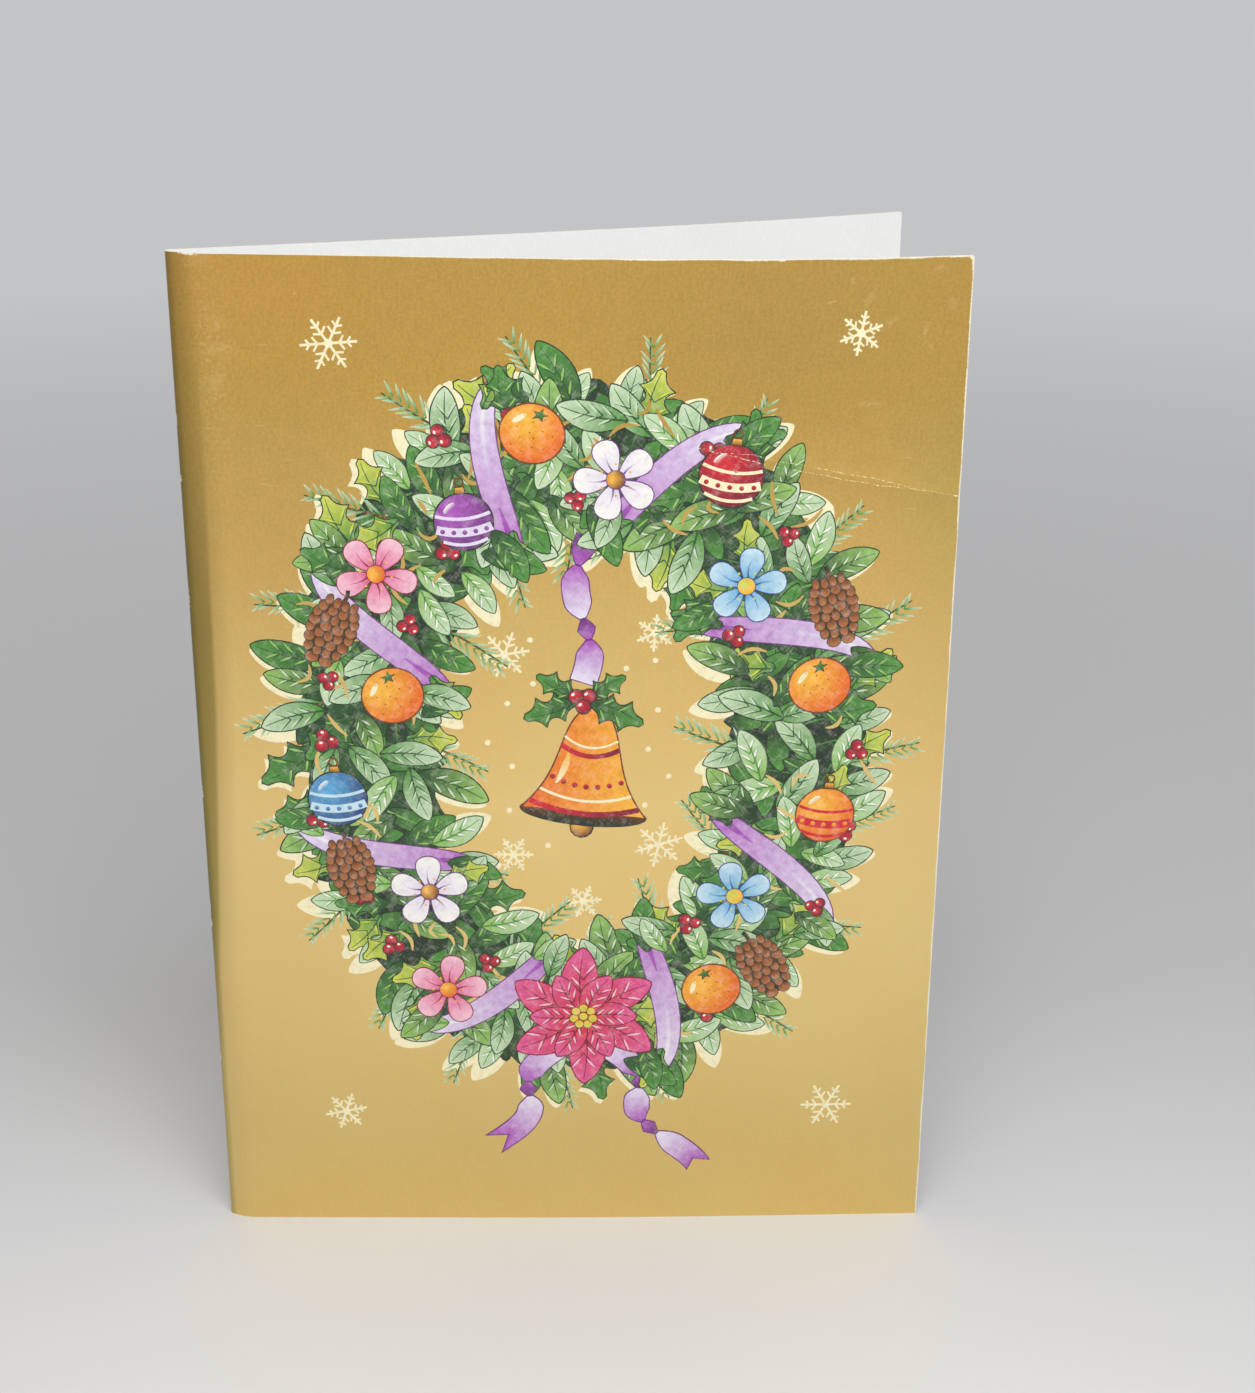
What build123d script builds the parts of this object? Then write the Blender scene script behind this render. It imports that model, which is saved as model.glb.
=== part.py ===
from build123d import *
from math import acos, atan2, cos, degrees, hypot, radians, sin
import os

# A tall greeting card: one sheet of foil board, folded once down its left side and
# standing half open on its foot. The cover faces -Y and its foot lies along X.

# The board, in millimetres
LEAF_WIDTH = 128.0          # crown of the fold to the free edge, when folded flat
CARD_HEIGHT = 177.8
BOARD_THICKNESS = 0.35
FOLD_INSIDE_RADIUS = 0.6
SPINE_BAND_WIDTH = 4.6      # the strip beside the fold that a soft crease marks off
SOFT_CREASE_WIDTH = 1.8
CORNER_RADIUS = 0.4         # the four free corners are a little blunted by handling

# How it stands, in degrees
OPENING_ANGLE = 19.3        # between the lines from the fold to the two free edges

# How far each stretch of a leaf turns beyond the fold, in degrees, where a turn towards
# the other leaf counts as positive: the band and the crease beside it, and then equal
# thirds of the panel, from the fold to the free edge
COVER_FOOT_BAND_TURN = 27.0
COVER_FOOT_CREASE_TURN = 1.0
COVER_FOOT_PANEL_TURNS = (0.0, 1.5, 0.5)
COVER_HEAD_BAND_TURN = 6.0
COVER_HEAD_CREASE_TURN = 14.0
COVER_HEAD_PANEL_TURNS = (0.0, 4.0, 12.0)
BACK_FOOT_PANEL_TURNS = (0.0, -1.0, -2.0)
BACK_HEAD_PANEL_TURNS = (0.0, -2.0, -7.0)

fold_radius = FOLD_INSIDE_RADIUS + BOARD_THICKNESS / 2      # to the middle of the board
leaf_beyond_fold = LEAF_WIDTH - FOLD_INSIDE_RADIUS - BOARD_THICKNESS


def panel(width, turns):
    """A panel as equal stretches, each (length, turn)."""
    return [(width / len(turns), turn) for turn in turns]


def cover_stretches(band_turn, crease_turn, panel_turns):
    """The cover beyond the fold: spine band, soft crease, bowed panel."""
    panel_width = leaf_beyond_fold - SPINE_BAND_WIDTH - SOFT_CREASE_WIDTH
    band = (SPINE_BAND_WIDTH, band_turn)
    crease = (SOFT_CREASE_WIDTH, crease_turn)
    return [band, crease] + panel(panel_width, panel_turns)


def stretch_edge(start, heading, length, turn):
    """One stretch of a leaf in plan: an arc, or a straight line where it doesn't turn."""
    along = (cos(radians(heading)), sin(radians(heading)))
    if turn == 0:
        return Line(start, start + length * Vector(*along))
    return JernArc(start, along, length / radians(abs(turn)), turn)


def leaf_line(stretches, start, heading, outward):
    """The line of a leaf that lies the given distance outside the middle of the board."""
    edges = []
    for length, turn in stretches:
        edge = stretch_edge(start, heading, length + outward * radians(turn), turn)
        edges.append(edge)
        start = edge @ 1
        heading += turn
    return edges


def with_fold(stretches, standing_angle):
    """Put half of the fold before a leaf.

    It turns until the free edge comes onto the leaf's own line, which stands off
    the X axis by the standing angle.
    """
    free_edge = leaf_line(stretches, Vector(0, 0), 0, 0)[-1] @ 1
    off_line = free_edge.Y - fold_radius
    reach = hypot(free_edge.X, off_line)
    lean = radians(standing_angle)
    turn = acos(fold_radius * sin(lean) / reach) - atan2(off_line, free_edge.X) - lean
    return [(fold_radius * turn, degrees(turn))] + stretches


def leaf_outline(stretches, standing_angle):
    """Outer and inner lines of a leaf that starts at the crown of the fold."""
    folded = with_fold(stretches, standing_angle)
    half = BOARD_THICKNESS / 2
    outer = leaf_line(folded, Vector(-half, 0), -90, half)
    inner = leaf_line(folded, Vector(half, 0), -90, -half)
    return outer, inner


def card_section(cover, back, height):
    """Plan section of the whole folded board at one height."""
    cover_outer, cover_inner = leaf_outline(cover, 0)
    back_outer, back_inner = leaf_outline(back, OPENING_ANGLE)
    back_outer = [mirror(edge, about=Plane.XZ) for edge in back_outer]
    back_inner = [mirror(edge, about=Plane.XZ) for edge in back_inner]
    cover_end = Line(cover_outer[-1] @ 1, cover_inner[-1] @ 1)
    back_end = Line(back_outer[-1] @ 1, back_inner[-1] @ 1)
    edges = cover_outer + [cover_end] + cover_inner + back_inner + [back_end] + back_outer
    return Pos(0, 0, height) * make_face(edges)


def free_corners(card):
    """The four short edges through the board at the corners of its free sides."""
    across = [edge for edge in card.edges() if abs(edge.length - BOARD_THICKNESS) < BOARD_THICKNESS / 10]
    return ShapeList(across).sort_by(Axis.X)[-4:]


def folded_card():
    foot = card_section(
        cover_stretches(COVER_FOOT_BAND_TURN, COVER_FOOT_CREASE_TURN, COVER_FOOT_PANEL_TURNS),
        panel(leaf_beyond_fold, BACK_FOOT_PANEL_TURNS),
        0,
    )
    head = card_section(
        cover_stretches(COVER_HEAD_BAND_TURN, COVER_HEAD_CREASE_TURN, COVER_HEAD_PANEL_TURNS),
        panel(leaf_beyond_fold, BACK_HEAD_PANEL_TURNS),
        CARD_HEIGHT,
    )
    card = loft([foot, head], ruled=True)
    return fillet(free_corners(card), CORNER_RADIUS)


card = folded_card()
box = card.bounding_box()
card = Pos(-(box.min.X + box.max.X) / 2, -(box.min.Y + box.max.Y) / 2, 0) * card
card.label = "folded_card"

os.makedirs("parts", exist_ok=True)
export_step(card, "parts/folded_card.step")
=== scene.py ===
import bpy
import random
from bisect import bisect_right
from math import acos, atan2, cos, degrees, hypot, pi, radians, sin
from mathutils import Matrix, Vector


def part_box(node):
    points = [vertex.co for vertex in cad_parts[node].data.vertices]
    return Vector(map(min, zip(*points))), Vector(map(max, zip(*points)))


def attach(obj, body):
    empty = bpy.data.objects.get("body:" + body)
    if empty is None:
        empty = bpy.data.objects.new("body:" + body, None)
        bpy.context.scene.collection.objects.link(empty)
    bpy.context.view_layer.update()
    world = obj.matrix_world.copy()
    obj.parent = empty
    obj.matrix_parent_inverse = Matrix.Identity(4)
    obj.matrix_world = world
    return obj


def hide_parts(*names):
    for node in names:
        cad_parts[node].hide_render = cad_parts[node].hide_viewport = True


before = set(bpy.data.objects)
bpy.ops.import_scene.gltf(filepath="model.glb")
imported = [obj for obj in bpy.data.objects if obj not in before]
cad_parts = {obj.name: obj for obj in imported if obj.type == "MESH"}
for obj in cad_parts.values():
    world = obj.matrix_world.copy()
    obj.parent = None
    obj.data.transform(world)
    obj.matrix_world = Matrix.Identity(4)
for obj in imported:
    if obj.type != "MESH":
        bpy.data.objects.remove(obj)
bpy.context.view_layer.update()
cadLow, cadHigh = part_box("folded_card")
scene = bpy.context.scene
mm = 0.001
flatUnit = 100 * mm    # one unit of the flat UV map

# The folded board. Turns are in degrees beyond the fold, towards the other leaf,
# for the spine band, the soft crease and then equal stretches of the panel.
board = {
    "leafWidth": 128.0 * mm,
    "height": cadHigh.z,
    "thickness": 0.35 * mm,
    "foldInsideRadius": 0.6 * mm,
    "bandWidth": 4.6 * mm,
    "creaseWidth": 1.8 * mm,
    "cornerRadius": 0.4 * mm,
    "opening": 19.3,
    "coverFoot": (27.0, 1.0, 0.0, 1.5, 0.5),
    "coverHead": (6.0, 14.0, 0.0, 4.0, 12.0),
    "backFoot": (0.0, -1.0, -2.0),
    "backHead": (0.0, -2.0, -7.0),
    # Where the flat mesh is cut across, closer together near the fold
    "foldColumnStep": 0.25 * mm,
    "foldColumnReach": 9.0 * mm,
    "columnStep": 2.5 * mm,
    "rowStep": 2.5 * mm,
}

# A dent where the cover was bent back once: it runs from the free edge into the panel
dent = {
    "start": (82.0 * mm, 148.2 * mm),
    "end": (128.4 * mm, 138.4 * mm),
    "depth": 0.15 * mm,
    "profile": ((0.0, 1.0), (0.8 * mm, 0.70), (2.6 * mm, 0.26), (6.5 * mm, 0.0)),   # aside, share of depth
    "fadeAtStart": 9.0 * mm,
}


def clamp(value, low=0.0, high=1.0):
    return max(low, min(high, value))


def mix(first, second, share):
    return first + (second - first) * share


# The fold, worked out in plan as arcs that follow each other

def arcEnd(x, y, heading, length, turn):
    if abs(turn) < 1e-6:
        return x + length * cos(heading), y + length * sin(heading)
    radius = length / turn
    return (x + radius * (sin(heading + turn) - sin(heading)),
            y - radius * (cos(heading + turn) - cos(heading)))


def leafStretches(widths, turns, standing):
    foldRadius = board["foldInsideRadius"] + board["thickness"] / 2
    x, y, heading = 0.0, 0.0, 0.0
    for width, turn in zip(widths, turns):
        x, y = arcEnd(x, y, heading, width, radians(turn))
        heading += radians(turn)
    offLine = y - foldRadius
    lean = radians(standing)
    foldTurn = acos(foldRadius * sin(lean) / hypot(x, offLine)) - atan2(offLine, x) - lean
    stretches = []
    x, y, heading = 0.0, 0.0, -pi / 2
    pairs = [(foldRadius * foldTurn, foldTurn)]
    pairs += [(width, radians(turn)) for width, turn in zip(widths, turns)]
    for length, turn in pairs:
        stretches.append((x, y, heading, length, turn))
        x, y = arcEnd(x, y, heading, length, turn)
        heading += turn
    return stretches


beyondFold = board["leafWidth"] - board["foldInsideRadius"] - board["thickness"]
coverThird = (beyondFold - board["bandWidth"] - board["creaseWidth"]) / 3
coverWidths = [board["bandWidth"], board["creaseWidth"]] + [coverThird] * 3
backWidths = [beyondFold / 3] * 3
leaves = {
    1: (leafStretches(coverWidths, board["coverFoot"], 0), leafStretches(coverWidths, board["coverHead"], 0)),
    -1: (leafStretches(backWidths, board["backFoot"], board["opening"]),
         leafStretches(backWidths, board["backHead"], board["opening"])),
}


def leafPoint(stretch, share, lift):
    x, y, heading, length, turn = stretch
    x, y = arcEnd(x, y, heading, length * share, turn * share)
    heading += turn * share
    return x + lift * sin(heading), y - lift * cos(heading)


# The line of the dent: where it starts, its length and its direction
dentX, dentY = dent["start"]
dentLength = hypot(dent["end"][0] - dentX, dent["end"][1] - dentY)
dentAlong = (dent["end"][0] - dentX) / dentLength
dentUp = (dent["end"][1] - dentY) / dentLength


def fromDent(along, up):
    run = (along - dentX) * dentAlong + (up - dentY) * dentUp
    return run, abs((along - dentX) * dentUp - (up - dentY) * dentAlong)


def dentDepth(along, up):
    run, aside = fromDent(along, up)
    share = 0.0
    for (near, nearShare), (far, farShare) in zip(dent["profile"], dent["profile"][1:]):
        if near <= aside < far:
            share = mix(nearShare, farShare, (aside - near) / (far - near))
    return dent["depth"] * share * clamp(run / dent["fadeAtStart"])


# Where a point of the flat board goes, lifted outwards from its middle. Along is
# measured from the crown of the fold, over the cover as positive
def bentPoint(along, up, lift):
    side = 1 if along >= 0 else -1
    foot, head = leaves[side]
    rise = up / board["height"]
    left = abs(along)
    for low, high in zip(foot, head):
        length = mix(low[3], high[3], rise)
        if left <= length or low is foot[-1]:
            break
        left -= length
    share = left / length
    footX, footY = leafPoint(low, share, lift)
    headX, headY = leafPoint(high, share, lift)
    return Vector((mix(footX, headX, rise), side * mix(footY, headY, rise), up))


# The board and the print are cut along the same columns, and are straight between them
leafReach = sum(stretch[3] for stretch in leaves[1][0])
nearColumns = [board["foldColumnStep"] * step
               for step in range(int(board["foldColumnReach"] / board["foldColumnStep"]))]
farColumns = [board["foldColumnReach"] + board["columnStep"] * step
              for step in range(int((leafReach - board["foldColumnReach"]) / board["columnStep"]) + 1)]
coverColumns = nearColumns + farColumns
backColumns = [-column for column in reversed(coverColumns[1:])]
columns = [-leafReach - mm] + backColumns + coverColumns + [leafReach + mm]
rows = [board["rowStep"] * step for step in range(1, int(board["height"] / board["rowStep"]) + 1)]


def foldedPoint(along, up, lift):
    if along > 0:
        lift -= dentDepth(along, up)
    spot = min(max(bisect_right(columns, along), 1), len(columns) - 1)
    low, high = columns[spot - 1], columns[spot]
    share = (along - low) / (high - low)
    return bentPoint(low, up, lift).lerp(bentPoint(high, up, lift), share)


halfBoard = board["thickness"] / 2
crown = min(foldedPoint(0, up, halfBoard).x for up in (0, board["height"]))
rearmost = max(foldedPoint(-board["leafWidth"], up, lift).y
               for up in (0, board["height"]) for lift in (-halfBoard, halfBoard))
place = Vector((cadLow.x - crown, cadHigh.y - rearmost, 0))
print("fold worked out, placed at", [round(value / mm, 2) for value in place])


# Small helpers for modelling as by hand

def deselectAll():
    if bpy.context.mode != "OBJECT":
        bpy.ops.object.mode_set(mode="OBJECT")
    bpy.ops.object.select_all(action="DESELECT")


def pick(piece):
    deselectAll()
    piece.select_set(True)
    bpy.context.view_layer.objects.active = piece


def editAll(piece):
    pick(piece)
    bpy.ops.object.mode_set(mode="EDIT")
    bpy.ops.mesh.select_mode(type="FACE")
    bpy.ops.mesh.select_all(action="SELECT")


def endEdit():
    bpy.ops.object.mode_set(mode="OBJECT")


def selectFaces(piece, wanted):
    endEdit()
    for face in piece.data.polygons:
        face.select = wanted(face.center)
    bpy.ops.object.mode_set(mode="EDIT")


def cutAcross(spots, normal):
    for spot in spots:
        bpy.ops.mesh.select_all(action="SELECT")
        bpy.ops.mesh.bisect(plane_co=spot, plane_no=normal)


# The cuts that let a flat piece follow the fold, the bow and the dent
def cutForFolding(piece):
    xs = [vertex.co.x for vertex in piece.data.vertices]
    ys = [vertex.co.y for vertex in piece.data.vertices]
    editAll(piece)
    cutAcross([(column, 0, 0) for column in columns if min(xs) < column < max(xs)], (1, 0, 0))
    cutAcross([(0, row, 0) for row in rows if min(ys) < row < max(ys)], (0, 1, 0))
    firstColumn = dentX - board["columnStep"]
    widest = dent["profile"][-1][0] + mm
    for aside in sorted({side * aside for aside, share in dent["profile"] for side in (-1, 1)}):
        selectFaces(piece, lambda spot: spot.x > firstColumn and fromDent(*spot.xy)[1] < widest)
        if any(face.select for face in piece.data.polygons):
            edge = (dentX - dentUp * aside, dentY + dentAlong * aside, 0)
            bpy.ops.mesh.bisect(plane_co=edge, plane_no=(-dentUp, dentAlong, 0))
    endEdit()


def applyModifiers(piece):
    pick(piece)
    for modifier in list(piece.modifiers):
        bpy.ops.object.modifier_apply(modifier=modifier.name)


def foldOnto(piece, lift=0.0):
    for vertex in piece.data.vertices:
        vertex.co = foldedPoint(vertex.co.x, vertex.co.y, vertex.co.z + lift) + place
    piece.data.update()


def flatMap(piece):
    layer = piece.data.uv_layers.new(name="flat")
    for loop in piece.data.loops:
        spot = piece.data.vertices[loop.vertex_index].co
        layer.data[loop.index].uv = (spot.x / flatUnit, spot.y / flatUnit)


# Material helpers

def startMaterial(name):
    material = bpy.data.materials.new(name)
    material.use_nodes = True
    tree = material.node_tree
    return material, tree, tree.nodes["Principled BSDF"]


def startGroup(name, inputs, outputs):
    group = bpy.data.node_groups.new(name, "ShaderNodeTree")
    for socket, kind in inputs.items():
        group.interface.new_socket(name=socket, in_out="INPUT", socket_type="NodeSocket" + kind)
    for socket, kind in outputs.items():
        group.interface.new_socket(name=socket, in_out="OUTPUT", socket_type="NodeSocket" + kind)
    return group, addNode(group, "NodeGroupInput").outputs, addNode(group, "NodeGroupOutput").inputs


def addNode(tree, kind, **settings):
    node = tree.nodes.new(kind)
    for key, value in settings.items():
        setattr(node, key, value)
    return node


def setInputs(node, **values):
    for key, value in values.items():
        node.inputs[key].default_value = value
    return node


# A socket takes a fixed value or a link
def feed(tree, socket, value):
    if isinstance(value, (int, float, tuple)):
        socket.default_value = value
    else:
        tree.links.new(value, socket)


def useGroup(tree, group, **values):
    node = addNode(tree, "ShaderNodeGroup", node_tree=group)
    for key, value in values.items():
        feed(tree, node.inputs[key], value)
    return node.outputs


def maths(tree, operation, *values):
    node = addNode(tree, "ShaderNodeMath", operation=operation)
    for socket, value in zip(node.inputs, values):
        feed(tree, socket, value)
    return node.outputs[0]


def product(tree, first, *others):
    for other in others:
        first = maths(tree, "MULTIPLY", first, other)
    return first


def mixColours(tree, factor, first, second, blend="MIX"):
    node = addNode(tree, "ShaderNodeMix", data_type="RGBA", blend_type=blend)
    for index, value in ((0, factor), (6, first), (7, second)):
        feed(tree, node.inputs[index], value)
    return node.outputs[2]


# A value between two limits becomes one between 0 and 1, or between two other limits
def spread(tree, value, *limits):
    node = addNode(tree, "ShaderNodeMapRange")
    for socket, number in zip(node.inputs, (value, *limits)):
        feed(tree, socket, number)
    return node.outputs[0]


def vectorLength(tree, vector):
    node = addNode(tree, "ShaderNodeVectorMath", operation="LENGTH")
    tree.links.new(vector, node.inputs[0])
    return node.outputs["Value"]


# Places on the flat board, in millimetres: along from the crown of the fold, and up
def flatPlace(tree):
    node = addNode(tree, "ShaderNodeMapping")
    node.inputs["Scale"].default_value = (flatUnit / mm, flatUnit / mm, 1)
    tree.links.new(addNode(tree, "ShaderNodeUVMap", uv_map="flat").outputs[0], node.inputs["Vector"])
    return node.outputs[0]


# The same places measured from a spot, turned, and in units of the given size
def measuredFrom(tree, flat, spot, size, turn=0.0):
    node = addNode(tree, "ShaderNodeMapping", vector_type="TEXTURE")
    node.inputs["Location"].default_value = (*spot, 0)
    node.inputs["Rotation"].default_value = (0, 0, radians(turn))
    node.inputs["Scale"].default_value = (*size, 1)
    tree.links.new(flat, node.inputs["Vector"])
    return node.outputs[0]


# Noise whose spots have the given size in millimetres: one number, or a length and a width
def noise(tree, flat, size, detail=2.0, roughness=0.5, turn=0.0):
    size = size if isinstance(size, tuple) else (size, size)
    node = addNode(tree, "ShaderNodeTexNoise", noise_dimensions="2D")
    setInputs(node, Scale=1.0, Detail=detail, Roughness=roughness)
    tree.links.new(measuredFrom(tree, flat, (0, 0), size, turn), node.inputs["Vector"])
    return node.outputs["Fac"]


def alongAndUp(tree, flat):
    parts = addNode(tree, "ShaderNodeSeparateXYZ")
    tree.links.new(flat, parts.inputs[0])
    return parts.outputs["X"], parts.outputs["Y"]


def bump(tree, height, distance, before=None):
    node = addNode(tree, "ShaderNodeBump")
    setInputs(node, Distance=distance)
    tree.links.new(height, node.inputs["Height"])
    if before is not None:
        tree.links.new(before, node.inputs["Normal"])
    return node.outputs[0]


# Wear that bares the paper along the edges, at the crown and at the dent, and faint marks that don't, among
# them painted glints just beyond the soft crease. Places and sizes are in millimetres on the flat board,
# turns in degrees
wear = {
    "fuzzSize": 0.45,
    "edgeLine": 0.26,
    "edgeFuzz": 0.30,
    "patchSize": 9.0,
    "patches": (0.35, 0.65, 0.10, -0.04),       # noise from here to here shifts the edge line so far
    "headLine": (15, 75, 0.22, 0.0),            # near the fold the head is worn less
    "cornerMarks": ((0.9, 0.9), (0.40, 3.0)),   # how far each reaches from the corner, along and up
    "crownWidth": 0.42,
    # Each chip: along, up, half length
    "crownChips": ((0.1, 151.0, 1.1), (0.05, 121.0, 3.6), (0.1, 85.4, 1.6), (0.0, 63.0, 2.3),
                   (0.2, 141.0, 0.6), (0.1, 33.0, 0.7), (-0.1, 117.2, 0.9), (0.15, 60.2, 0.8)),
    # The two tracks of flecks along the dent. Spans are shares of its length
    "trackApart": 0.5,
    "trackWidth": 0.11,
    "trackWander": 0.7,
    "partSpan": (0.12, 0.24),
    "meetSpan": (0.83, 0.70),
    "fadeSpan": (0.97, 0.76, 0.4),
    "dashSize": (0.50, 0.26),
    # Each mark: along, up, half length, half width, turn
    "rubbed": ((4.4, 177.75, 1.3, 0.30, 0), (97.0, 177.7, 0.5, 0.2, 0), (125.0, 177.7, 1.5, 0.17, 0),
               (127.25, 138.65, 0.35, 0.11, -10)),
    "scratches": ((15.5, 163.6, 0.7, 0.09, 0), (15.0, 140.7, 1.4, 0.10, -10), (14.5, 150.5, 0.9, 0.08, 0),
                  (19.0, 145.0, 0.7, 0.08, 0), (21.0, 171.8, 0.24, 0.20, 0), (118.6, 145.5, 0.7, 0.11, -6),
                  (119.8, 136.8, 1.1, 0.11, -4), (105.0, 171.0, 0.9, 0.10, 12)),
    "smudges": ((5.6, 176.6, 2.0, 0.9, 12), (8.6, 163.0, 2.1, 0.8, 3), (7.2, 157.6, 2.0, 0.9, 25),
                (8.4, 166.8, 0.7, 0.8, 0), (111.0, 171.4, 1.7, 0.5, 62), (114.6, 167.8, 1.6, 0.5, 38),
                (124.6, 170.6, 1.0, 0.8, 60), (122.2, 176.0, 1.1, 0.5, 0), (108.4, 174.4, 0.6, 0.5, 0),
                (120.5, 166.0, 1.7, 0.32, 80), (121.4, 163.6, 1.0, 0.28, 122), (112.0, 154.6, 2.2, 0.35, 2)),
    "smudgeGrain": (0.9, 0.5),
    "smudgeStrength": 0.6,
    "paintedGlintSize": (0.8, 0.55),
    "paintedGlints": (150.0, 174.0),     # painted glints: how far up they run, just beyond the soft crease
}


# How far from the middle of an oval, which is one at its rim
def ovalDistance(tree, flat, along, up, halfLength, halfWidth, turn):
    return vectorLength(tree, measuredFrom(tree, flat, (along, up), (halfLength, halfWidth), turn))


# One inside an oval mark, fading out over its fuzzy rim
def ovalMark(tree, flat, *mark, fuzz, rim=(1.15, 0.75)):
    return spread(tree, maths(tree, "ADD", ovalDistance(tree, flat, *mark), fuzz), *rim)


# One in the middle of an oval, fading softly to nothing at its rim
def softOval(tree, flat, *mark):
    node = addNode(tree, "ShaderNodeMapRange", interpolation_type="SMOOTHSTEP")
    setInputs(node, **{"From Min": 1.0, "From Max": 0.0})
    tree.links.new(ovalDistance(tree, flat, *mark), node.inputs["Value"])
    return node.outputs[0]


def strongest(tree, masks):
    result = masks[0]
    for mask in masks[1:]:
        result = maths(tree, "MAXIMUM", result, mask)
    return result


def wearGroup():
    group, given, result = startGroup("card wear", {"Flat": "Vector"},
                                      {"Bare": "Float", "Cracked": "Float", "ScratchAndGlint": "Float"})
    flat = given["Flat"]
    along, up = alongAndUp(group, flat)
    head, side = board["height"] / mm, leafReach / mm
    fuzz = maths(group, "SUBTRACT", noise(group, flat, wear["fuzzSize"], 3.0, 0.7), 0.5)

    def marks(rows, **how):
        return [ovalMark(group, flat, *row, **how) for row in rows]

    headGap = maths(group, "SUBTRACT", head, up)
    headGap = maths(group, "ADD", headGap, spread(group, along, *wear["headLine"]))
    edgeGap = maths(group, "MINIMUM", headGap, maths(group, "SUBTRACT", side, along))
    ragged = maths(group, "MULTIPLY_ADD", fuzz, wear["edgeFuzz"], edgeGap)
    patches = spread(group, noise(group, flat, wear["patchSize"]), *wear["patches"])
    edges = spread(group, maths(group, "ADD", ragged, patches), wear["edgeLine"], wear["edgeLine"] * 0.55)
    corners = marks([(side, head, *reach, 0) for reach in wear["cornerMarks"]],
                    fuzz=product(group, fuzz, 0.9))
    chips = marks([(*spot, wear["crownWidth"], half, 0) for *spot, half in wear["crownChips"]],
                  fuzz=product(group, fuzz, 2.4))

    # The tracks run together towards both ends, and are broken into dashes
    lean = degrees(atan2(dentUp, dentAlong))
    run, off = alongAndUp(group, measuredFrom(group, flat, (dentX / mm, dentY / mm), (1, 1), lean))

    def span(first, last, *limits):
        return spread(group, run, dentLength / mm * first, dentLength / mm * last, *limits)

    wander = maths(group, "SUBTRACT", noise(group, flat, 5.0), 0.5)
    off = maths(group, "ABSOLUTE", maths(group, "MULTIPLY_ADD", wander, wear["trackWander"], off))
    apart = product(group, span(*wear["partSpan"]), span(*wear["meetSpan"]), wear["trackApart"])
    off = maths(group, "ABSOLUTE", maths(group, "SUBTRACT", off, apart))
    track = spread(group, off, wear["trackWidth"], wear["trackWidth"] * 0.35)
    dashes = product(group, spread(group, noise(group, flat, wear["dashSize"], 2.0, 0.6, lean), 0.48, 0.55),
                     spread(group, noise(group, flat, 3.4), 0.30, 0.42))
    ends = product(group, spread(group, run, 1.0, 3.0), span(*wear["fadeSpan"]))
    flecks = product(group, track, dashes, ends)

    coarse = product(group, fuzz, 2.6)
    rubbed = marks(wear["rubbed"], fuzz=coarse)
    scratches = marks(wear["scratches"], fuzz=coarse)
    soft = maths(group, "SUBTRACT", noise(group, flat, wear["smudgeGrain"], 2.0, 0.6), 0.46)
    smudges = [product(group, smudge, wear["smudgeStrength"])
               for smudge in marks(wear["smudges"], fuzz=product(group, soft, 4.5), rim=(1.4, 0.3))]
    # Painted glints: lighter flecks just beyond the soft crease
    low, high = wear["paintedGlints"]
    paintedGlints = product(group, spread(group, noise(group, flat, wear["paintedGlintSize"], 2.0, 0.6), 0.54, 0.66),
                       spread(group, along, 11.5, 6.0), spread(group, along, 4.2, 6.0),
                       spread(group, up, low - 20, low + 4), spread(group, up, high + 3, high - 6, 0.0, 0.9))
    group.links.new(strongest(group, [edges] + chips + corners + rubbed), result["Bare"])
    group.links.new(flecks, result["Cracked"])
    group.links.new(strongest(group, scratches + smudges + [paintedGlints]), result["ScratchAndGlint"])
    return group


# The grain of a print made from a drawing: soft blotches and fine crossed hatching
grain = {
    "strokeSize": (1.5, 0.34),
    "strokeTurns": (52, -38),
    "blotchSize": 1.6,
    "blotchShare": 1.4,
    "levels": (1.25, 2.15, -1.0, 1.0),
    "dark": (0.02, 0.035, 0.02, 1),
    "pale": (0.92, 0.90, 0.80, 1),
}


def grainGroup():
    sockets = {"Flat": "Vector", "Colour": "Color", "Strength": "Float"}
    group, given, result = startGroup("drawn grain", sockets, {"Colour": "Color"})
    flat = given["Flat"]
    hatch, cross = [noise(group, flat, grain["strokeSize"], 3.0, 0.65, turn) for turn in grain["strokeTurns"]]
    blotch = product(group, noise(group, flat, grain["blotchSize"], 3.0), grain["blotchShare"])
    tone = spread(group, maths(group, "ADD", maths(group, "ADD", hatch, cross), blotch), *grain["levels"])
    colour = given["Colour"]
    for side, ink in ((-1, "dark"), (1, "pale")):
        share = maths(group, "MAXIMUM", product(group, tone, side), 0)
        colour = mixColours(group, product(group, share, given["Strength"]), colour, grain[ink])
    group.links.new(colour, result["Colour"])
    return group


cardWear = wearGroup()
drawnGrain = grainGroup()
print("wear and grain ready")

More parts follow.
